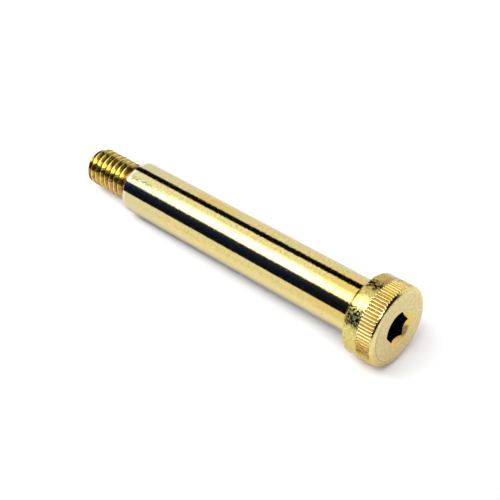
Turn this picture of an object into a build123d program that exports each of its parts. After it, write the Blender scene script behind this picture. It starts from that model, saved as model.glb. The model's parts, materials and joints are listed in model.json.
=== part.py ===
from build123d import *
from math import asin, cos, hypot, radians, sin, tan
import os

# A socket head shoulder bolt, turned from one bar: a knurled head with a hexagon socket,
# a ground shoulder that carries a turning or sliding part, and a shorter, thinner thread.
# It lies as it comes to rest on a table, on the lower edge of its head and the far edge of
# its shoulder, with the head towards +X. All sizes are in millimetres.

# Head. The edge of its face is broken by two bevels. The outer one goes as deep as the
# knurl, so the grooves run out where it ends.
head_diameter = 18.65
head_height = 7.8
face_edge_width = 1.2
face_edge_length = 0.8
inner_bevel_length = 0.25
bearing_edge_chamfer = 0.35

# Straight knurl: V grooves along the head, from a plain band next to the bearing face
# to the edge of the face
knurl_teeth = 76
knurl_start = 3.6
knurl_depth = 0.3
knurl_angle = 90.0

# Hexagon socket for a 1/4 in key, broached into a drilled and countersunk hole
socket_across_flats = 6.39
socket_depth = 5.0
socket_turn = 30.0
countersink_diameter = 8.0
countersink_angle = 90.0
drill_diameter = 6.2
drill_past_socket = 0.5
drill_point_angle = 118.0

# Ground shoulder, 1/2 in, with a grinding undercut below the head. The undercut's corner is
# wide enough to keep the bearing face outside the shoulder.
shoulder_diameter = 12.65
shoulder_length = 69.85
shoulder_chamfer = 0.45
undercut_width = 1.5
undercut_depth = 0.22
undercut_corner = 0.3

# Neck between the shoulder and the thread
neck_diameter = 7.1
neck_width = 2.0
neck_corner = 0.4

# Right-hand thread, 3/8-16. Its length runs from the shoulder to the tip, and the depth of
# its groove and the flat on its crest are shares of the pitch.
thread_diameter = 9.2
thread_pitch = 25.4 / 16
thread_length = 15.0
thread_angle = 60.0
thread_phase = 0.55
groove_share = 0.6134
crest_flat_share = 1 / 8
tip_chamfer = 1.2

# The ridge's root lies inside its core, and the form that trims it stands clear of the crest.
ridge_overlap = 0.1
trim_clearance = 0.05

# Radii, and places along the axis from the bearing face towards the thread
head_radius = head_diameter / 2
face_radius = head_radius - face_edge_width
shoulder_radius = shoulder_diameter / 2
undercut_radius = shoulder_radius - undercut_depth
neck_radius = neck_diameter / 2
thread_radius = thread_diameter / 2
groove_depth = groove_share * thread_pitch
core_radius = thread_radius - groove_depth
tip_radius = thread_radius - tip_chamfer
neck_end = shoulder_length + neck_width
thread_end = shoulder_length + thread_length

# Rest: the table touches the head's lower edge and the shoulder's far edge, so the axis
# slopes down towards the thread.
contact_run = shoulder_length - shoulder_chamfer + bearing_edge_chamfer
contact_drop = head_radius - shoulder_radius
rest_tilt = asin(contact_drop / hypot(contact_run, contact_drop))
towards_thread = Vector(-cos(rest_tilt), 0, -sin(rest_tilt))
radial_up = Vector(-sin(rest_tilt), 0, cos(rest_tilt))

# The origin is on the table, below the middle of the bolt's length.
face_reach = head_height * cos(rest_tilt) + face_radius * sin(rest_tilt)
tip_reach = thread_end * cos(rest_tilt) + tip_radius * sin(rest_tilt)
bearing_height = head_radius * cos(rest_tilt) - bearing_edge_chamfer * sin(rest_tilt)
bearing_centre = Vector((tip_reach - face_reach) / 2, 0, bearing_height)
bolt_axis = Axis(bearing_centre, towards_thread)


def on_axis(distance):
    """Point on the bolt's axis at a distance from the bearing face, positive towards the thread."""
    return bearing_centre + towards_thread * distance


# Half sections are drawn in a plane through the axis: x runs towards the thread, y is the radius.
half_section = Plane(origin=bearing_centre, x_dir=towards_thread, z_dir=towards_thread.cross(radial_up))
face_plane = Plane(origin=on_axis(-head_height), x_dir=radial_up, z_dir=-towards_thread)
knurl_plane = Plane(origin=on_axis(-knurl_start), x_dir=radial_up, z_dir=-towards_thread)

# Threaded end: a ridge swept along a helix round a core, both longer than the thread, trimmed
# to length by a turned form with the lead-in at the neck and the chamfer at the tip.
with BuildPart() as threaded_end:
    with BuildLine():
        turns = Helix(
            pitch=thread_pitch,
            height=thread_end - neck_end + 2 * thread_pitch,
            radius=thread_radius,
            center=tuple(on_axis(neck_end - (1 + thread_phase) * thread_pitch)),
            direction=tuple(towards_thread),
        )
    start_centre = on_axis((turns @ 0 - bearing_centre).dot(towards_thread))
    start_outward = (turns @ 0 - start_centre).normalized()
    ridge_section = Plane(origin=turns @ 0, x_dir=start_outward, z_dir=start_outward.cross(towards_thread))
    flank_slope = tan(radians(thread_angle / 2))
    half_crest = crest_flat_share * thread_pitch / 2
    half_base = half_crest + (groove_depth + ridge_overlap) * flank_slope
    with BuildSketch(ridge_section):
        with BuildLine():
            Polyline(
                (0, half_crest),
                (0, -half_crest),
                (-groove_depth - ridge_overlap, -half_base),
                (-groove_depth - ridge_overlap, half_base),
                close=True,
            )
        make_face()
    sweep(path=turns, is_frenet=True)

    with BuildSketch(half_section):
        with BuildLine():
            core_corner = (neck_end - 3 * thread_pitch, core_radius)
            far_corner = (thread_end + 3 * thread_pitch, core_radius)
            Polyline((core_corner[0], 0), core_corner, far_corner, (far_corner[0], 0), close=True)
        make_face()
    revolve(axis=bolt_axis)

    with BuildSketch(half_section):
        with BuildLine():
            trim_radius = thread_radius + trim_clearance
            Polyline(
                (neck_end, 0),
                (neck_end, neck_radius),
                (neck_end + trim_radius - neck_radius, trim_radius),
                (thread_end + tip_radius - trim_radius, trim_radius),
                (thread_end, tip_radius),
                (thread_end, 0),
                close=True,
            )
        make_face()
    revolve(axis=bolt_axis, mode=Mode.INTERSECT)

with BuildPart() as shoulder_bolt:
    # Turned head, shoulder and neck: the half section runs from the face to the neck and back
    # along the axis.
    with BuildSketch(half_section):
        with BuildLine():
            face = Line((-head_height, 0), (-head_height, face_radius))
            inner_bevel = Line(face @ 1, (inner_bevel_length - head_height, head_radius - knurl_depth))
            outer_bevel = Line(inner_bevel @ 1, (face_edge_length - head_height, head_radius))
            band = Line(outer_bevel @ 1, (-bearing_edge_chamfer, head_radius))
            bearing_edge = Line(band @ 1, (0, head_radius - bearing_edge_chamfer))
            bearing = Line(bearing_edge @ 1, (0, undercut_radius + undercut_corner))
            undercut_root = Line(bearing @ 1, (undercut_corner, undercut_radius))
            undercut = Line(undercut_root @ 1, (undercut_width, undercut_radius))
            undercut_rise = Line(undercut @ 1, (undercut_width + undercut_depth, shoulder_radius))
            shoulder = Line(undercut_rise @ 1, (shoulder_length - shoulder_chamfer, shoulder_radius))
            shoulder_bevel = Line(shoulder @ 1, (shoulder_length, shoulder_radius - shoulder_chamfer))
            shoulder_face = Line(shoulder_bevel @ 1, (shoulder_length, neck_radius + neck_corner))
            neck_root = Line(shoulder_face @ 1, (shoulder_length + neck_corner, neck_radius))
            neck = Line(neck_root @ 1, (neck_end, neck_radius))
            Polyline(neck @ 1, (neck_end, 0), face @ 0)
        make_face()
    revolve(axis=bolt_axis)

    # Knurl: V grooves whose mouths lie outside the head
    with BuildSketch(knurl_plane):
        with PolarLocations(head_radius, knurl_teeth):
            half_mouth = 2 * knurl_depth * tan(radians(knurl_angle / 2))
            Polygon((-knurl_depth, 0), (knurl_depth, -half_mouth), (knurl_depth, half_mouth), align=None)
    extrude(amount=head_height - knurl_start, mode=Mode.SUBTRACT)

    # Drilled and countersunk hole, turned about the axis, then the hexagon broached into it
    with BuildSketch(half_section):
        with BuildLine():
            drill_radius = drill_diameter / 2
            sink_radius = countersink_diameter / 2
            sink_depth = (sink_radius - drill_radius) / tan(radians(countersink_angle / 2))
            drill_end = -head_height + socket_depth + drill_past_socket
            drill_point = drill_radius / tan(radians(drill_point_angle / 2))
            Polyline(
                (-head_height, 0),
                (-head_height, sink_radius),
                (-head_height + sink_depth, drill_radius),
                (drill_end, drill_radius),
                (drill_end + drill_point, 0),
                close=True,
            )
        make_face()
    revolve(axis=bolt_axis, mode=Mode.SUBTRACT)
    with BuildSketch(face_plane):
        RegularPolygon(socket_across_flats / 2, 6, major_radius=False, rotation=socket_turn)
    extrude(amount=-socket_depth, mode=Mode.SUBTRACT)

    add(threaded_end.part)

shoulder_bolt.part.label = "shoulder_bolt"
os.makedirs("parts", exist_ok=True)
export_step(shoulder_bolt.part, "parts/shoulder_bolt.step")
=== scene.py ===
from functools import cached_property
import json
import math

import bpy
import numpy as np
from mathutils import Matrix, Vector


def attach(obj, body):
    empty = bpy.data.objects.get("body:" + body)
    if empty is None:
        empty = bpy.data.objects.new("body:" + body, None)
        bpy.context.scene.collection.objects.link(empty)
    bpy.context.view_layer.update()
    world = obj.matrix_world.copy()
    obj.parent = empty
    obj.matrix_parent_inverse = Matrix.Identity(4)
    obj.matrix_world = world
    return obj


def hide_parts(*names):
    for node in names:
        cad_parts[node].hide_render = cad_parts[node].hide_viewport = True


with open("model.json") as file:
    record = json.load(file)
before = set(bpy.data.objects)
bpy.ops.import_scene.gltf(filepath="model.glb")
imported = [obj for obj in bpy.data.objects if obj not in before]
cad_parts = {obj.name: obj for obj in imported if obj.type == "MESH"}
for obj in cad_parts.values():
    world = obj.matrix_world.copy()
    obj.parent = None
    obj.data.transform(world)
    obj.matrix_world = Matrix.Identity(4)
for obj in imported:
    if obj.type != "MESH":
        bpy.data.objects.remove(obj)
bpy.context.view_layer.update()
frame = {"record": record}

MM = 0.001

# The bolt's own axes, read from its mounts: the centre of the bearing face, the direction towards
# the thread, outwards at the top, and outwards at the side away from the camera.
mounts = {mount["name"]: mount for mount in frame["record"]["mounts"]}
TOWARDS_THREAD = np.array(mounts["shoulder"]["axis"])
TOWARDS_THREAD /= np.linalg.norm(TOWARDS_THREAD)
UP = np.array([0.0, 0.0, 1.0]) - TOWARDS_THREAD[2] * TOWARDS_THREAD
UP /= np.linalg.norm(UP)
SIDE = np.cross(TOWARDS_THREAD, UP)
SHOULDER_POINT = np.array(mounts["shoulder"]["pos_m"])
SEAT_POINT = np.array(mounts["head_seat"]["pos_m"])
CENTRE = SHOULDER_POINT + TOWARDS_THREAD * ((SEAT_POINT - SHOULDER_POINT) @ TOWARDS_THREAD)

# Sizes of the bolt, in millimetres and degrees, as in its solid
HEAD_RADIUS = 9.325
HEAD_HEIGHT = 7.8
FACE_EDGE_WIDTH = 1.2
FACE_EDGE_LENGTH = 0.8
INNER_BEVEL = 0.25
BEARING_CHAMFER = 0.35
KNURL_TEETH = 76
KNURL_START = 3.6
KNURL_DEPTH = 0.3
SOCKET_ACROSS_FLATS = 6.39
SOCKET_DEPTH = 5.0
SINK_RADIUS = 4.0
DRILL_RADIUS = 3.1
DRILL_DEPTH = 5.5
DRILL_ANGLE = 118.0
SHOULDER_RADIUS = mounts["shoulder"]["dims"]["r_mm"]
SHOULDER_LENGTH = 69.85
SHOULDER_CHAMFER = 0.45
UNDERCUT_WIDTH = 1.5
UNDERCUT_DEPTH = 0.22
UNDERCUT_CORNER = 0.3
NECK_RADIUS = 3.55
NECK_WIDTH = 2.0
NECK_CORNER = 0.4
THREAD_RADIUS = mounts["thread"]["dims"]["r_mm"]
THREAD_PITCH = 25.4 / 16
THREAD_LENGTH = 15.0
THREAD_ANGLE = 60.0
THREAD_PHASE = 0.55
GROOVE_SHARE = 0.6134
CREST_FLAT_SHARE = 1 / 8
TIP_CHAMFER = 1.2

# Sizes that only this surface has, in millimetres: the small rounds on the thread, the runs over
# which the knurl's grooves rise and fall, how far from the face they end, the share of their
# depth that the plate leaves open, the strip next to the face that has the edge's finish, and
# how far inside its edge the last ring lies on the tip, on the bearing face and on the face
CREST_ROUND = 0.07
ROOT_ROUND = 0.12
KNURL_RISE = 0.25
KNURL_FALL = 0.35
KNURL_TO_FACE = 0.35
OPEN_SHARE = 0.85
SMOOTH_EDGE = 0.6
TIP_INSET = 0.3
BEARING_INSET = 0.4
FACE_INSET = 0.8

NECK_END = SHOULDER_LENGTH + NECK_WIDTH
THREAD_END = SHOULDER_LENGTH + THREAD_LENGTH
GROOVE_DEPTH = GROOVE_SHARE * THREAD_PITCH
CORE_RADIUS = THREAD_RADIUS - GROOVE_DEPTH
TIP_RADIUS = THREAD_RADIUS - TIP_CHAMFER
FACE_RADIUS = HEAD_RADIUS - FACE_EDGE_WIDTH
UNDERCUT_RADIUS = SHOULDER_RADIUS - UNDERCUT_DEPTH
DRILL_POINT = DRILL_RADIUS / math.tan(math.radians(DRILL_ANGLE / 2))

# Columns of the mesh round the shank, and round one tooth of the knurl as shares of the tooth
SHANK_COLUMNS = 152
TOOTH_COLUMNS = np.array([0, 0.12, 0.24, 0.33, 0.385, 0.44, 0.5, 0.56, 0.615, 0.67, 0.76, 0.88])

# Between rings of the mesh, in millimetres: the usual room next to an arc, and the shortest run
# that has rings of its own
RING_MARGIN = 0.1
SHORTEST_RUN = 0.02

# Numbers of the finishes
GROUND, THREAD, BAND, KNURL, EDGE, FACE, SOCKET = range(7)

# The photograph's camera, fitted to the outlines of the bolt: its place in millimetres, its
# angles in degrees, its focal length and sensor in millimetres, and its shift as a share of the
# picture's width
CAMERA_PLACE = (145.952, -155.049, 186.357)
CAMERA_ELEVATION = 40.390
CAMERA_HEADING = 132.527
FOCAL_LENGTH = 87.905
SENSOR_WIDTH = 36.0
CAMERA_SHIFT = (0.0046, -0.0058)


def turned(corners, steps=4, longest=2.0):
    """Rings (along, radius) of a turned form with rounded corners.

    A corner (along, radius, round) becomes an arc of radius round, drawn in a number of steps,
    which starts and ends at round * tan(turn / 2) from the corner. Seen from the arc's centre, a
    point on it is the first end times sin((1 - share) * turn) plus the last end times
    sin(share * turn), over sin(turn). A run between two arcs has a ring close to each end, so
    that the shading of the arcs doesn't spread over it, and a long run has more rings, about
    longest apart.
    """
    places = np.array([corner[:2] for corner in corners], float)
    rounds = [corner[2] for corner in corners]
    rings = [places[:1]]
    for i in range(1, len(places)):
        start = rings[-1][-1]
        run = places[i] - places[i - 1]
        run_way = run / np.linalg.norm(run)
        arc = places[i : i + 1]
        if i < len(places) - 1 and rounds[i] > 0:
            next_run = places[i + 1] - places[i]
            next_way = next_run / np.linalg.norm(next_run)
            turn = math.acos(np.clip(run_way @ next_way, -1, 1))
            reach = rounds[i] * math.tan(turn / 2)
            first, last = places[i] - run_way * reach, places[i] + next_way * reach
            middle = (next_way - run_way) / np.linalg.norm(next_way - run_way)
            centre = places[i] + middle * rounds[i] / math.cos(turn / 2)
            share = np.linspace(0, 1, steps + 1)[:, None]
            from_first = np.sin((1 - share) * turn) * (first - centre)
            from_last = np.sin(share * turn) * (last - centre)
            arc = centre + (from_first + from_last) / math.sin(turn)
        length = np.linalg.norm(arc[0] - start)
        margin = min(RING_MARGIN, length / 4)
        inner = np.linspace(margin, length - margin, max(2, math.ceil(length / longest)))
        if length > SHORTEST_RUN:
            rings.append(start + run_way * inner[:, None])
        rings.append(arc)
    joined = np.vstack(rings)
    return joined[:, 0], joined[:, 1]


def place(along, radius, angle):
    """Points in metres, with along and radius in millimetres:
    CENTRE + along * TOWARDS_THREAD + radius * (UP cos(angle) + SIDE sin(angle))."""
    outward = np.cos(angle)[..., None] * UP + np.sin(angle)[..., None] * SIDE
    return CENTRE + MM * (along[..., None] * TOWARDS_THREAD + radius[..., None] * outward)


def thread_rings(angle):
    """Thread, from its tip back to the neck.

    A row keeps one place on the thread's profile, and its distance along the axis grows by the
    pitch times angle / 2 pi, so the crests and roots are lines of the mesh. The radius is the
    least of the profile's and of two 45 degree cones, the chamfer of the tip and the lead-in at
    the neck. Rows past an end are held in its plane, where they fall into one ring.
    """
    half_crest = CREST_FLAT_SHARE * THREAD_PITCH / 2
    half_base = half_crest + GROOVE_DEPTH * math.tan(math.radians(THREAD_ANGLE / 2))
    middle = THREAD_PITCH / 2
    offset, profile = turned(
        [
            (0, CORE_RADIUS, 0),
            (middle - half_base, CORE_RADIUS, ROOT_ROUND),
            (middle - half_crest, THREAD_RADIUS, CREST_ROUND),
            (middle + half_crest, THREAD_RADIUS, CREST_ROUND),
            (middle + half_base, CORE_RADIUS, ROOT_ROUND),
            (THREAD_PITCH, CORE_RADIUS, 0),
        ],
        steps=2,
    )
    datum = NECK_END - (2 + THREAD_PHASE) * THREAD_PITCH
    count = math.ceil((THREAD_END - datum) / THREAD_PITCH) + 1
    start = (np.arange(count)[:, None] * THREAD_PITCH + offset[:-1]).ravel()[::-1, None]
    radius = np.tile(profile[:-1], count)[::-1, None]
    along = np.clip(datum + start + THREAD_PITCH * angle / (2 * np.pi), NECK_END, THREAD_END)
    cones = np.minimum(TIP_RADIUS + THREAD_END - along, NECK_RADIUS + along - NECK_END)
    return along, np.minimum(radius, cones)


def knurled(along, radius, tooth):
    """Radius of the knurled head: the turned radius, or the V groove's where that is less.

    The groove's depth goes by the cube of cos(pi * from_middle), which is whole in its middle,
    where tooth is a whole number, and nothing at the crest, half a tooth away. It rises from
    nothing over KNURL_RISE and falls again over KNURL_FALL, to nothing at KNURL_TO_FACE from the
    face. Each groove is a little deeper or shallower than the next, by a sum of two sines of its
    number.
    """
    nearest = np.floor(tooth + 0.5)
    from_middle = np.abs(tooth - nearest)
    number = nearest % KNURL_TEETH
    uneven = 1 + 0.10 * np.sin(2.1 * number) + 0.08 * np.sin(5.3 * number + 1.0)
    groove = OPEN_SHARE * KNURL_DEPTH * uneven * np.cos(np.pi * from_middle) ** 3
    rise = np.clip((-along - KNURL_START) / KNURL_RISE, 0, 1)
    fall = np.clip((HEAD_HEIGHT + along - KNURL_TO_FACE) / KNURL_FALL, 0, 1)
    return np.minimum(radius, HEAD_RADIUS - groove * rise * fall)


def socket_rings(angle):
    """Countersink, hexagon and drilled bottom, from the face to the point of the drill.

    The hexagon's radius is half its width across flats over cos of the angle from the middle of
    the nearest flat. The countersink ends where its cone meets the hexagon, so that row rises
    and falls with the hexagon's radius. Rows a few hundredths apart break the edges.
    """
    sector = np.pi / 3
    from_flat = (angle + sector / 2) % sector - sector / 2
    hexagon = SOCKET_ACROSS_FLATS / 2 / np.cos(from_flat)
    rows = [
        (0, SINK_RADIUS + 0.3),
        (0, SINK_RADIUS + 0.06),
        (0.02, SINK_RADIUS),
        (0.08, SINK_RADIUS - 0.06),
        (SINK_RADIUS - hexagon - 0.02, hexagon + 0.02),
        (SINK_RADIUS - hexagon + 0.03, hexagon),
        (1.0, hexagon),
        (SOCKET_DEPTH - 0.05, hexagon),
        (SOCKET_DEPTH, hexagon - 0.02),
        (SOCKET_DEPTH, DRILL_RADIUS),
        (DRILL_DEPTH, DRILL_RADIUS),
        (DRILL_DEPTH + DRILL_POINT, 0),
    ]
    depth, radius = (np.array([part + 0 * angle for part in parts]) for parts in zip(*rows))
    return depth - HEAD_HEIGHT, radius


def grid_faces(start, rows, columns):
    """Two triangles for each cell of a grid of points, whose first point has the number start."""
    corner = start + (np.arange(rows - 1)[:, None] * columns + np.arange(columns - 1)).ravel()
    one = np.stack([corner, corner + columns, corner + columns + 1], 1)
    other = np.stack([corner, corner + columns + 1, corner + 1], 1)
    return np.vstack([one, other])


def seam_faces(coarse, coarse_steps, fine, fine_steps, fine_is_next):
    """Triangles between two rings of one plane, where the finer has ratio times as many steps.

    A fine step f goes to the nearest coarse point (f + ratio / 2) // ratio, and a coarse step c
    to the fine point c * ratio + ratio / 2.
    """
    ratio = fine_steps // coarse_steps
    f, c = np.arange(fine_steps), np.arange(coarse_steps)
    fans = np.stack([coarse + (f + ratio // 2) // ratio, fine + f, fine + f + 1], 1)
    wedges = np.stack([coarse + c, fine + c * ratio + ratio // 2, coarse + c + 1], 1)
    faces = np.vstack([fans, wedges])
    return faces if fine_is_next else faces[:, ::-1]


def shank_profile():
    """Rings of the shank, from the neck's end to a ring on the bearing face."""
    return turned(
        [
            (NECK_END, NECK_RADIUS, 0),
            (SHOULDER_LENGTH + NECK_CORNER, NECK_RADIUS, 0.4),
            (SHOULDER_LENGTH, NECK_RADIUS + NECK_CORNER, 0.15),
            (SHOULDER_LENGTH, SHOULDER_RADIUS - SHOULDER_CHAMFER, 0.08),
            (SHOULDER_LENGTH - SHOULDER_CHAMFER, SHOULDER_RADIUS, 0.08),
            (UNDERCUT_WIDTH + UNDERCUT_DEPTH, SHOULDER_RADIUS, 0.05),
            (UNDERCUT_WIDTH, UNDERCUT_RADIUS, 0.05),
            (UNDERCUT_CORNER, UNDERCUT_RADIUS, 0.2),
            (0, UNDERCUT_RADIUS + UNDERCUT_CORNER, 0.1),
            (0, UNDERCUT_RADIUS + UNDERCUT_CORNER + BEARING_INSET, 0),
        ]
    )


def head_profile():
    """Rings of the head without its knurl, from the bearing face to a ring on the other face."""
    return turned(
        [
            (0, HEAD_RADIUS - BEARING_CHAMFER - BEARING_INSET, 0),
            (0, HEAD_RADIUS - BEARING_CHAMFER, 0.1),
            (-BEARING_CHAMFER, HEAD_RADIUS, 0.1),
            (-KNURL_START, HEAD_RADIUS, 0),
            (-KNURL_START - KNURL_RISE, HEAD_RADIUS, 0),
            (FACE_EDGE_LENGTH - HEAD_HEIGHT, HEAD_RADIUS, 0.9),
            (INNER_BEVEL - HEAD_HEIGHT, HEAD_RADIUS - KNURL_DEPTH, 0.85),
            (-HEAD_HEIGHT, FACE_RADIUS, 1.2),
            (-HEAD_HEIGHT, FACE_RADIUS - FACE_INSET, 0),
        ],
        longest=0.6,
    )


def finish_numbers(along, radius):
    """Each face's finish, from the distance along the axis and the radius at its middle. A few
    hundredths keep the faces that lie in a border's plane on their own side of it."""
    sink_end = SINK_RADIUS - radius - HEAD_HEIGHT
    return np.select(
        [
            along > SHOULDER_LENGTH + 0.01,
            along > 0.02,
            (radius < SINK_RADIUS) & (along > sink_end + 0.05),
            (radius < SINK_RADIUS) | (along < 0.01 - HEAD_HEIGHT),
            along < SMOOTH_EDGE - HEAD_HEIGHT,
            along < -KNURL_START,
        ],
        [THREAD, GROUND, SOCKET, FACE, EDGE, KNURL],
        BAND,
    )


def bolt_mesh():
    """The whole bolt as one closed surface, from the centre of its tip along the outside to the
    centre of the socket's bottom. Points that fall together are merged, and faces that they
    close up are left out."""
    shank_angle = np.linspace(0, 2 * np.pi, SHANK_COLUMNS + 1)
    tooth = np.append((np.arange(KNURL_TEETH)[:, None] + TOOTH_COLUMNS).ravel(), KNURL_TEETH)
    tip_along = np.array([THREAD_END, THREAD_END])
    tip_radius = np.array([0.0, TIP_RADIUS - TIP_INSET])
    shank_along, shank_radius = shank_profile()
    head_along, head_radius = head_profile()
    blocks = [
        (tip_along[:, None], tip_radius[:, None], shank_angle),
        (*thread_rings(shank_angle), shank_angle),
        (shank_along[:, None], shank_radius[:, None], shank_angle),
        (
            head_along[:, None],
            knurled(head_along[:, None], head_radius[:, None], tooth),
            tooth * 2 * np.pi / KNURL_TEETH,
        ),
        (*socket_rings(shank_angle), shank_angle),
    ]

    points, faces, profiles = [], [], []
    start, columns_before = 0, 0
    for block in blocks:
        along, radius, angle = np.broadcast_arrays(*block)
        rows, columns = along.shape
        last = start - columns_before
        if columns_before == columns:
            faces.append(grid_faces(last, 2, columns))
        elif 0 < columns_before < columns:
            faces.append(seam_faces(last, columns_before - 1, start, columns - 1, True))
        elif columns_before > columns:
            faces.append(seam_faces(start, columns - 1, last, columns_before - 1, False))
        points.append(place(along, radius, angle).reshape(-1, 3))
        profiles.append(np.stack([along, radius], -1).reshape(-1, 2))
        faces.append(grid_faces(start, rows, columns))
        start += rows * columns
        columns_before = columns
    points, faces, profiles = np.vstack(points), np.vstack(faces), np.vstack(profiles)
    finish = finish_numbers(*profiles[faces].mean(1).T)

    rounded = np.round(points / MM, 6)
    first, number = np.unique(rounded, axis=0, return_index=True, return_inverse=True)[1:]
    faces = number.ravel()[faces]
    whole = (faces != np.roll(faces, -1, 1)).all(1)
    return points[first], faces[whole], finish[whole]


class Signal:
    """A socket that can stand in a sum: each operator adds its Math node to the same paint."""

    def __init__(self, paint, socket):
        self.paint = paint
        self.socket = socket

    def math(self, operation, *others):
        """What a Math node makes of this socket and the others."""
        return self.paint.node("ShaderNodeMath", {"operation": operation}, [self, *others])

    def __add__(self, other):
        return self.math("ADD", other)

    def __mul__(self, other):
        return self.math("MULTIPLY", other)

    def __sub__(self, other):
        return self.math("SUBTRACT", other)

    def __rsub__(self, other):
        return (self * -1) + other

    def __truediv__(self, other):
        return self.math("DIVIDE", other)

    __radd__ = __add__
    __rmul__ = __mul__

    def rise(self, low, high):
        """0 below low, 1 above high, and a smooth step between them."""
        settings = {"interpolation_type": "SMOOTHSTEP"}
        return self.paint.node("ShaderNodeMapRange", settings, [self, low, high, 0.0, 1.0])


class Paint:
    """The node tree of a material or of the world."""

    # A Mix node has sockets for each kind of value. These are the numbers of the ones for colours.
    MIX_FACTOR, MIX_COLOUR, MIX_OTHER = 0, 6, 7
    MIX_RESULT = 2

    def __init__(self, owner):
        owner.use_nodes = True
        self.tree = owner.node_tree
        self.tree.nodes.clear()
        self.owner_kind = "World" if isinstance(owner, bpy.types.World) else "Material"

    def node(self, kind, settings=None, inputs=(), output=0):
        """Adds a node, sets its settings and then its sockets, and returns one of its outputs."""
        made = self.tree.nodes.new(kind)
        for name, value in (settings or {}).items():
            setattr(made, name, value)
        pairs = inputs.items() if isinstance(inputs, dict) else enumerate(inputs)
        for key, value in pairs:
            socket = made.inputs[key]
            if isinstance(value, Signal):
                self.tree.links.new(value.socket, socket)
            elif value is not None:
                socket.default_value = value
        return Signal(self, made.outputs[output]) if made.outputs else None

    def mix(self, factor, colour, other):
        """Colour where factor is 0, and the other where it is 1."""
        first, second = (
            value if isinstance(value, Signal) else (*value, 1.0) for value in (colour, other)
        )
        inputs = {self.MIX_FACTOR: factor, self.MIX_COLOUR: first, self.MIX_OTHER: second}
        return self.node("ShaderNodeMix", {"data_type": "RGBA"}, inputs, self.MIX_RESULT)

    def dot(self, vector, way):
        """How far a vector reaches along a fixed direction."""
        settings = {"operation": "DOT_PRODUCT"}
        return self.node("ShaderNodeVectorMath", settings, [vector, tuple(way)], "Value")

    def vectors(self, operation, *vectors):
        """A vector worked out from others."""
        return self.node("ShaderNodeVectorMath", {"operation": operation}, vectors)

    def scaled(self, vector, factor):
        """A vector or colour, made longer or brighter by a factor."""
        inputs = {"Vector": vector, "Scale": factor}
        return self.node("ShaderNodeVectorMath", {"operation": "SCALE"}, inputs)

    def noise(self, vector, scale, detail, roughness):
        """Smooth noise from 0 to 1."""
        inputs = {"Vector": vector, "Scale": scale, "Detail": detail, "Roughness": roughness}
        return self.node("ShaderNodeTexNoise", {"noise_dimensions": "3D"}, inputs)

    def finish(self, shader):
        """Puts a shader on the output."""
        self.node("ShaderNodeOutput" + self.owner_kind, inputs={"Surface": shader})


class Metal(Paint):
    """A plated steel finish, with the bolt's own coordinates in millimetres."""

    # Colour of the metal where it is seen edge on
    EDGE_ON_TINT = (0.80, 0.78, 0.84, 1.0)

    def __init__(self, name):
        self.material = bpy.data.materials.new(name)
        super().__init__(self.material)
        here = self.node("ShaderNodeTexCoord", output="Object")
        from_centre = self.vectors("SUBTRACT", here, tuple(CENTRE))
        self.along = self.dot(from_centre, TOWARDS_THREAD / MM)
        self.up = self.dot(from_centre, UP / MM)
        self.side = self.dot(from_centre, SIDE / MM)

    @cached_property
    def radius(self):
        """Distance from the axis."""
        return (self.up * self.up + self.side * self.side).math("SQRT")

    def vector(self, along, up, side):
        """A vector from its three parts."""
        return self.node("ShaderNodeCombineXYZ", {}, [along, up, side])

    def spots(self, scale, detail=3.0, roughness=0.6, along=1.0, around=1.0):
        """Noise with scale waves to the millimetre. Along and around multiply the distances
        along the axis and across it, so the spots are drawn out where they are under 1."""
        here = self.vector(self.along * along, self.up * around, self.side * around)
        return self.noise(here, scale, detail, roughness)

    def tilted(self, around, along):
        """The surface's normal, tilted round the axis and along it by two amounts, which are
        radians where they are small: normal + around * (axis x normal) + along * axis, made one
        unit long."""
        normal = self.node("ShaderNodeNewGeometry", output="Normal")
        tangent = self.vectors("CROSS_PRODUCT", tuple(TOWARDS_THREAD), normal)
        turned_normal = self.vectors("ADD", normal, self.scaled(tangent, around))
        along_axis = self.scaled(tuple(TOWARDS_THREAD), along)
        return self.vectors("NORMALIZE", self.vectors("ADD", turned_normal, along_axis))

    def softened(self, amount):
        """The surface's normal, drawn towards the radial direction: normal + amount * radial,
        made one unit long."""
        normal = self.node("ShaderNodeNewGeometry", output="Normal")
        upward = self.scaled(tuple(UP), self.up / self.radius * amount)
        sideways = self.scaled(tuple(SIDE), self.side / self.radius * amount)
        radial = self.vectors("ADD", upward, sideways)
        return self.vectors("NORMALIZE", self.vectors("ADD", normal, radial))

    def near(self, up, side, low, high):
        """1 next to the line where the bolt's surface faces that way, 0 away from it. Low and
        high are cosines of the angle from the line."""
        return ((self.up * up + self.side * side) / self.radius).rise(low, high)

    def underneath(self):
        """1 on the lower side of the head, 0 on its upper side."""
        return (self.up * (-1 / HEAD_RADIUS)).rise(-0.15, 0.35)

    def bump(self, height, normal=None):
        """The surface's normal under a relief, whose height is in millimetres."""
        inputs = {"Strength": 1.0, "Distance": MM, "Height": height, "Normal": normal}
        return self.node("ShaderNodeBump", {}, inputs)

    def plate(self, colour, roughness, normal=None):
        """Polished or satin metal of that colour and roughness, duller where it is seen edge on.
        Returns the finished material."""
        inputs = {"Base Color": colour, "Roughness": roughness, "Metallic": 1.0, "Normal": normal}
        inputs["Specular Tint"] = self.EDGE_ON_TINT
        self.finish(self.node("ShaderNodeBsdfPrincipled", {}, inputs))
        return self.material


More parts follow.
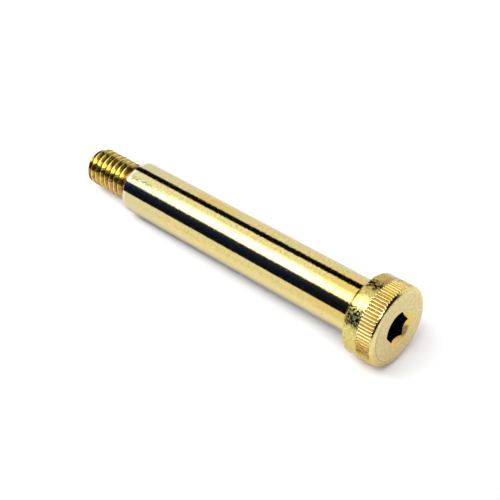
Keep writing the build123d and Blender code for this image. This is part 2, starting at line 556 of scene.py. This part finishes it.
# Colours of the plate on the shoulder and the band, and of painted shade and painted reflections
# on them
PALE_GOLD = (0.62, 0.525, 0.175)
PINK_GOLD = (0.68, 0.47, 0.24)
GREEN_GOLD = (0.55, 0.55, 0.22)
LEMON_GOLD = (0.68, 0.58, 0.16)
# Gold of a patch on the shoulder's top, of a painted reflection tone next to the head, and of
# painted shade under the head
WARM_GOLD = (0.62, 0.43, 0.09)
SILVER_GOLD = (0.56, 0.52, 0.30)
# Painted reflection of the floor: paler gold low on the shoulder's camera side
PAINTED_REFLECTION_GOLD = (0.71, 0.60, 0.24)
# Painted shade under the shoulder, and the face's slanted marks
SHADE_AND_MARK_GOLD = (0.24, 0.21, 0.12)
END_SILVER = (0.72, 0.70, 0.56)
TICK_GREY = (0.07, 0.066, 0.04)
DARK_PIT = (0.06, 0.05, 0.015)
KHAKI = (0.40, 0.32, 0.09)
RUST = (0.46, 0.19, 0.04)

# Colours of the knurl
CREST_GOLD = (0.80, 0.72, 0.30)
GROOVE_ORANGE = (0.56, 0.28, 0.03)
# Painted shade, low on the knurl's camera side
LOW_SHADE_BROWN = (0.44, 0.21, 0.01)

# Colours of the face, its stain and the socket
BEIGE = (0.70, 0.59, 0.27)
PINK_BEIGE = (0.73, 0.54, 0.28)
GREEN_BEIGE = (0.63, 0.59, 0.24)
# Painted dark reflection inside the face's border
EDGE_REFLECTION_GREY = (0.24, 0.21, 0.17)
YELLOW_STAIN = (0.88, 0.62, 0.06)
ORANGE_STAIN = (0.95, 0.52, 0.09)
BROWN_STAIN = (0.30, 0.19, 0.05)
# Painted shade on the socket's walls
SOCKET_SHADE_BLACK = (0.015, 0.015, 0.018)
STREAK_BLUE = (0.16, 0.18, 0.26)

# Colours of the thread
# Painted highlight on the thread's crests
CREST_HIGHLIGHT_AMBER = (0.85, 0.68, 0.20)
AMBER = (0.66, 0.46, 0.03)
FLANK_AMBER = (0.48, 0.29, 0.02)
OLIVE_AMBER = (0.42, 0.34, 0.09)
PINK_AMBER = (0.46, 0.26, 0.09)
# Dirt on the thread, painted shade in its roots, and a painted dark reflection over its top
DIRT_AND_SHADE_BROWN = (0.09, 0.045, 0.01)
NECK_BROWN = (0.50, 0.25, 0.06)


def plated_tints(metal, size, pale=PALE_GOLD, pink=PINK_GOLD, green=GREEN_GOLD, grain=0.9):
    """Yellow plate with faint patches of pink and green, about as wide as size in millimetres,
    and with darker and paler grains, which change its brightness by up to half of grain."""
    patches = metal.spots(1 / size, detail=4.0, roughness=0.7)
    others = metal.spots(0.7 / size, detail=4.0, roughness=0.7, along=0.8, around=1.3)
    colour = metal.mix(patches.rise(0.47, 0.58), pale, pink)
    colour = metal.mix(others.rise(0.51, 0.61), colour, green)
    grains = metal.spots(2.5 / size, roughness=0.7)
    return metal.scaled(colour, grains * grain + (1 - grain / 2))


def ground_finish():
    """The shoulder: nearly a mirror, with chatter marks across it and fine pricks. The plate is
    warmer next to the head, partly its own tone and partly a painted reflection tone, paler at
    the far end, and paler low on the camera's side from a painted reflection. It has a golden
    patch on the top and painted shade underneath. A rubbed line near the far end has grey
    ticks, and there are a few specks."""
    metal = Metal("ground_yellow_zinc")
    chatter = metal.spots(1.0, detail=2.0, along=3.2, around=0.5)
    grain = metal.spots(2.6, detail=2.0)
    pricks = metal.spots(4.5, detail=1.0, roughness=0.5, along=0.7, around=1.2).rise(0.62, 0.74)
    around = (chatter - 0.5) * 0.035 + (grain - 0.5) * 0.04 + pricks * 0.05
    normal = metal.tilted(around, (grain - 0.5) * 0.1)
    colour = plated_tints(metal, 1.5)
    # Partly the plate's own tone, partly a painted reflection tone: warmer gold next to the head
    # on the camera's side
    warm = (1 - metal.along.rise(2, 20)) * metal.near(0.755, -0.656, 0.5, 0.82)
    colour = metal.mix(warm * 0.7, colour, WARM_GOLD)
    # Painted reflection: paler gold low on the camera's side, where the shoulder mirrors the floor
    colour = metal.mix(metal.near(-0.19, -0.98, 0.94, 0.995) * 0.8, colour, PAINTED_REFLECTION_GOLD)
    colour = metal.mix(metal.along.rise(50, 68) * 0.5, colour, SILVER_GOLD)
    golden_length = metal.along.rise(32, 44) * (1 - metal.along.rise(47, 54))
    golden = metal.near(0.990, 0.139, 0.95, 0.995) * golden_length
    colour = metal.mix(golden * 0.6, colour, WARM_GOLD)
    # Painted shade: darker gold on the underside of the shoulder
    underneath = (metal.up * (-1 / SHOULDER_RADIUS)).rise(0.2, 0.6)
    colour = metal.mix(underneath * 0.85, colour, SHADE_AND_MARK_GOLD)
    ticks = metal.spots(1.0, roughness=0.75, along=0.8, around=3.0).rise(0.44, 0.62)
    rubbed = metal.near(0.829, -0.559, 0.986, 0.999) * metal.along.rise(51, 67)
    colour = metal.mix(ticks * rubbed * 0.8, colour, TICK_GREY)
    colour = metal.mix(metal.along.rise(68.3, 69.2) * 0.8, colour, END_SILVER)
    specks = metal.spots(1.1, detail=2.0, roughness=0.5).rise(0.72, 0.77)
    colour = metal.mix(specks * 0.7, colour, DARK_PIT)
    haze = metal.spots(3.5, roughness=0.65, around=0.8).rise(0.52, 0.70)
    return metal.plate(colour, haze * 0.17 + 0.045, normal)


def band_finish():
    """The head's plain band: forged, so it is dimpled, with dark pits. It has golden painted shade
    underneath, and is khaki with rusty patches over its top."""
    metal = Metal("forged_yellow_zinc")
    dimples = metal.spots(2.8, detail=2.0, roughness=0.7)
    others = metal.spots(3.1, detail=2.0, roughness=0.7, along=1.1, around=0.9)
    normal = metal.tilted((dimples - 0.5) * 0.5, (others - 0.5) * 0.6)
    colour = plated_tints(metal, 1.1, LEMON_GOLD, PALE_GOLD, GREEN_GOLD)
    # Painted shade: golden on the lower side of the head
    colour = metal.mix(metal.underneath() * 0.7, colour, WARM_GOLD)
    top = (metal.up / HEAD_RADIUS).rise(0.75, 0.98)
    colour = metal.mix(top * 0.7, colour, KHAKI)
    rust = metal.spots(0.6).rise(0.46, 0.62)
    colour = metal.mix(rust * top * 0.8, colour, RUST)
    pits = metal.spots(2.6, detail=2.0, roughness=0.5).rise(0.60, 0.68)
    colour = metal.mix(pits * 0.7, colour, DARK_PIT)
    dull = metal.spots(2.2, detail=2.0).rise(0.48, 0.60)
    return metal.plate(colour, dull * 0.32 + 0.1, normal)


def knurl_finish():
    """Bright crests with duller orange grooves, more orange the deeper they are, painted golden
    shade underneath and painted brown shade low on the camera's side. The depth is measured from
    the crests, which fall over the edge of the face."""
    metal = Metal("knurled_yellow_zinc")
    past_edge = (metal.along * -1 - (HEAD_HEIGHT - FACE_EDGE_LENGTH)).math("MAXIMUM", 0.0)
    crest = HEAD_RADIUS - past_edge * (KNURL_DEPTH / (FACE_EDGE_LENGTH - INNER_BEVEL))
    depth = (crest - metal.radius) / KNURL_DEPTH
    blotches = metal.spots(0.9)
    groove = (depth + (blotches - 0.5) * 0.5).rise(0.15, 0.7)
    top = (metal.up / HEAD_RADIUS).rise(0.9, 1.0)
    crests = metal.mix(top * 0.7, plated_tints(metal, 1.0, CREST_GOLD), KHAKI)
    # Painted shade: golden on the lower side of the head
    crests = metal.mix(metal.underneath() * 0.75, crests, WARM_GOLD)
    # Painted shade: blotchy brown low on the camera's side
    brown = metal.near(-0.10, -0.995, 0.965, 0.998) * blotches.rise(0.38, 0.62)
    colour = metal.mix(brown * 0.85, metal.mix(groove, crests, GROOVE_ORANGE), LOW_SHADE_BROWN)
    return metal.plate(colour, depth.rise(0.05, 0.3) * 0.3 + 0.16)


def edge_finish():
    """The broken edge of the face, a little duller than the shoulder, with golden painted shade
    underneath.
    """
    metal = Metal("bright_yellow_zinc")
    dents = metal.spots(0.9)
    colour = plated_tints(metal, 1.2, BEIGE, PALE_GOLD, GREEN_BEIGE)
    # Painted shade: golden on the lower side of the head
    colour = metal.mix(metal.underneath() * 0.6, colour, WARM_GOLD)
    return metal.plate(colour, 0.16, metal.bump(dents * 0.06))


def face_finish():
    """Satin face with pink and green patches, fine slanted marks and a painted dark reflection as
    a
    grey line next to its border. The plate is stained round one side of the socket's mouth:
    yellow, then brown next to a corner, then orange."""
    metal = Metal("satin_yellow_zinc")
    across, lengthwise = (metal.up + metal.side) * 3.5, (metal.up - metal.side) * 0.7
    slanted = metal.vector(metal.along, across, lengthwise)
    marks = metal.noise(slanted, scale=1.0, detail=3.0, roughness=0.7)
    blotches = metal.spots(0.8)
    colour = plated_tints(metal, 1.4, BEIGE, PINK_BEIGE, GREEN_BEIGE, grain=0.4)
    colour = metal.mix(marks.rise(0.45, 0.75) * 0.3, colour, SHADE_AND_MARK_GOLD)
    # Painted dark reflection: a grey line inside the face's rounded edge, low on the camera's side
    border = metal.radius.rise(7.55, 7.75) * (1 - metal.radius.rise(7.75, 7.95))
    colour = metal.mix(border * metal.near(-0.3, -0.95, 0.0, 0.8) * 0.6, colour, EDGE_REFLECTION_GREY)
    reach = 1 - (metal.radius + (blotches - 0.5) * 3.0).rise(3.7, 5.2)
    colour = metal.mix(reach * metal.near(0.0, 1.0, 0.72, 0.97) * 0.85, colour, YELLOW_STAIN)
    orange = reach * metal.near(-1.0, 0.0, 0.65, 0.95) * (marks.rise(0.3, 0.7) * 0.5 + 0.4)
    colour = metal.mix(orange, colour, ORANGE_STAIN)
    brown = metal.near(-0.707, 0.707, 0.90, 0.985) * (1 - metal.radius.rise(3.7, 4.6))
    colour = metal.mix(brown * 0.85, colour, BROWN_STAIN)
    colour = metal.scaled(colour, metal.spots(1.3, roughness=0.7) * 0.5 + 0.76)
    flattened = metal.tilted(0.0, -2.0)
    relief = marks * 0.02 + blotches * 0.04
    return metal.plate(colour, marks * 0.2 + 0.3, metal.bump(relief, flattened))


def thread_finish():
    """Amber thread with rounded crests, painted pale highlights on the crests, painted brown shade
    in the roots, patches of dirt and a reddish neck. It is pinkish underneath, olive over its
    top, and brown between, from a painted dark reflection. Its normals are softened, but not on
    the flat end."""
    metal = Metal("amber_yellow_zinc")
    depth = (THREAD_RADIUS - metal.radius) / GROOVE_DEPTH
    blotches = metal.spots(1.0)
    others = metal.spots(0.6)
    # Depth of the groove, made uneven by blotches
    blotched_depth = depth + (blotches - 0.5) * 0.3
    colour = metal.mix(blotched_depth.rise(0.1, 0.5), AMBER, FLANK_AMBER)
    underneath = (metal.up * (-1 / THREAD_RADIUS)).rise(-0.75, -0.2)
    colour = metal.mix(others.rise(0.38, 0.58) * underneath, colour, PINK_AMBER)
    colour = metal.mix(metal.near(0.85, 0.53, 0.75, 0.95) * 0.8, colour, OLIVE_AMBER)
    # Painted dark reflection: a brown band just above the highlight, on the camera's side of the
    # top
    colour = metal.mix(metal.near(0.93, -0.36, 0.95, 0.995) * 0.55, colour, DIRT_AND_SHADE_BROWN)
    dirt = metal.spots(0.9, roughness=0.7).rise(0.46, 0.62)
    colour = metal.mix(dirt * 0.6, colour, DIRT_AND_SHADE_BROWN)
    # Painted highlight: pale amber along the crests
    colour = metal.mix(depth.rise(0.0, 0.09), CREST_HIGHLIGHT_AMBER, colour)
    # Painted shade: dark brown deep in the roots
    roots = blotched_depth.rise(0.5, 0.85) * (1 - depth.rise(1.1, 1.22))
    colour = metal.mix(roots, colour, DIRT_AND_SHADE_BROWN)
    neck = 1 - metal.along.rise(NECK_END, NECK_END + 0.9)
    colour = metal.mix(neck, colour, NECK_BROWN)
    softening = 1.05 - metal.along.rise(THREAD_END - 0.7, THREAD_END - 0.05) * 1.05
    relief = metal.bump(blotches * 0.12 + others * 0.10, metal.softened(softening))
    return metal.plate(colour, 0.22, relief)


def socket_finish():
    """The socket's walls, nearly black as painted shade, and streaked with blue."""
    metal = Metal("dark_socket_steel")
    streaks = metal.spots(1.0, detail=2.0, roughness=0.5, along=0.3, around=2.5)
    # Painted shade: nearly black walls, with blue streaks
    return metal.plate(metal.mix(streaks.rise(0.48, 0.66), SOCKET_SHADE_BLACK, STREAK_BLUE), 0.3)


# In the order of their numbers
FINISHES = (
    ground_finish,
    thread_finish,
    band_finish,
    knurl_finish,
    edge_finish,
    face_finish,
    socket_finish,
)


def make_bolt():
    """The bolt's one surface with its finishes, which stands for the bolt's solid."""
    points, faces, finish = bolt_mesh()
    mesh = bpy.data.meshes.new("shoulder_bolt_surface")
    mesh.from_pydata(points.tolist(), [], faces.tolist())
    for make in FINISHES:
        mesh.materials.append(make())
    mesh.polygons.foreach_set("material_index", finish.astype(np.int32))
    mesh.polygons.foreach_set("use_smooth", np.ones(len(faces), bool))
    mesh.update()
    bolt = bpy.data.objects.new("plated_bolt", mesh)
    bpy.context.scene.collection.objects.link(bolt)
    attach(bolt, "root")
    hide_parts("shoulder_bolt")


def make_floor():
    """White sheet that the bolt lies on. It ends a hand's width in front of the bolt and a few
    centimetres past its head."""
    front, back, left, right = -0.098, 0.9, -0.9, 0.082
    mesh = bpy.data.meshes.new("white_sheet")
    corners = [(left, front, 0), (right, front, 0), (right, back, 0), (left, back, 0)]
    mesh.from_pydata(corners, [], [(0, 1, 2, 3)])
    floor = bpy.data.objects.new("white_sheet", mesh)
    bpy.context.scene.collection.objects.link(floor)
    material = bpy.data.materials.new("white_paper")
    paper = Paint(material)
    white = {"Base Color": (0.95, 0.95, 0.95, 1.0), "Roughness": 1.0}
    paper.finish(paper.node("ShaderNodeBsdfPrincipled", {}, white))
    mesh.materials.append(material)


def make_light():
    """A studio tent round the bolt. A direction is told by its lean, which is the angle in
    degrees from above towards the camera's side, by how far it points past the head, and by its
    height. A wide soft box fades in towards the camera's side, later past the thread, next to a
    dimmer ceiling. A dark seam parts the ceiling from the wall behind. It shifts past the thread
    and widens past the head. The table is pale. Past the head the low part of the box, the
    ceiling and then the wall are left out, so the edge of the face mirrors the dark. The rest is
    a dim bluish room, a little brighter on the camera's side. The camera itself sees plain
    white."""
    box_strength, ceiling_strength, wall_strength, table_strength = 4.5, 1.37, 1.2, 0.9
    white, bluish = (1, 1, 1, 1), (0.12, 0.24, 1.0, 1)
    world = bpy.context.scene.world or bpy.data.worlds.new("studio")
    bpy.context.scene.world = world
    studio = Paint(world)
    way = studio.node("ShaderNodeTexCoord", output="Generated")
    lean = studio.dot(way, -SIDE).math("ARCTAN2", studio.dot(way, UP)) * (180 / math.pi)
    past = studio.dot(way, -TOWARDS_THREAD)
    height = studio.dot(way, (0, 0, 1))
    low = past.rise(0.60, 0.72) * (1 - height.rise(0.33, 0.45))
    far_end = (past * -1).rise(0.585, 0.63)
    box = (lean - far_end * 17).rise(3, 34) * (1 - lean.rise(36, 51)) * (1 - low)
    seam_turn = (past * 25 + 13).math("MINIMUM", 1.5)
    ceiling = (lean + seam_turn).rise(-19.5, -17) * (1 - lean.rise(35, 50))
    ceiling = ceiling * (1 - past.rise(0.15, 0.35))
    head_turn = (past - 0.5).math("MAXIMUM", 0.0) * 80
    wall = (1 - (lean + seam_turn + head_turn).rise(-46, -42)) * (1 - past.rise(0.70, 0.78))
    table = 1 - height.rise(-0.22, -0.17)
    above = (ceiling * ceiling_strength + wall * wall_strength) * (1 - table)
    light = box * box_strength + above + table * table_strength
    room = lean.rise(0, 40) * ((1 - lean.rise(50, 75)) * 0.1 + 0.03) + 0.015
    lit = studio.node("ShaderNodeBackground", {}, {"Color": white, "Strength": light})
    dim = studio.node("ShaderNodeBackground", {}, {"Color": bluish, "Strength": room})
    seen = studio.node("ShaderNodeBackground", {}, {"Color": white, "Strength": 1.0})
    tent = studio.node("ShaderNodeAddShader", {}, [lit, dim])
    camera_ray = studio.node("ShaderNodeLightPath", output="Is Camera Ray")
    studio.finish(studio.node("ShaderNodeMixShader", {}, [camera_ray, tent, seen]))
    bpy.context.scene.view_settings.view_transform = "Standard"


def make_camera():
    """The photograph's camera: 40 degrees above the table, looking past the head along the
    bolt."""
    lens = bpy.data.cameras.new("photo_camera")
    lens.sensor_width = SENSOR_WIDTH
    lens.lens = FOCAL_LENGTH
    lens.shift_x, lens.shift_y = CAMERA_SHIFT
    lens.clip_start, lens.clip_end = 0.01, 10.0
    camera = bpy.data.objects.new("photo_camera", lens)
    camera.location = Vector(CAMERA_PLACE) * MM
    elevation, heading = math.radians(CAMERA_ELEVATION), math.radians(CAMERA_HEADING)
    camera.rotation_euler = (math.pi / 2 - elevation, 0.0, heading - math.pi / 2)
    bpy.context.scene.collection.objects.link(camera)
    bpy.context.scene.camera = camera


make_bolt()
make_floor()
make_light()
make_camera()
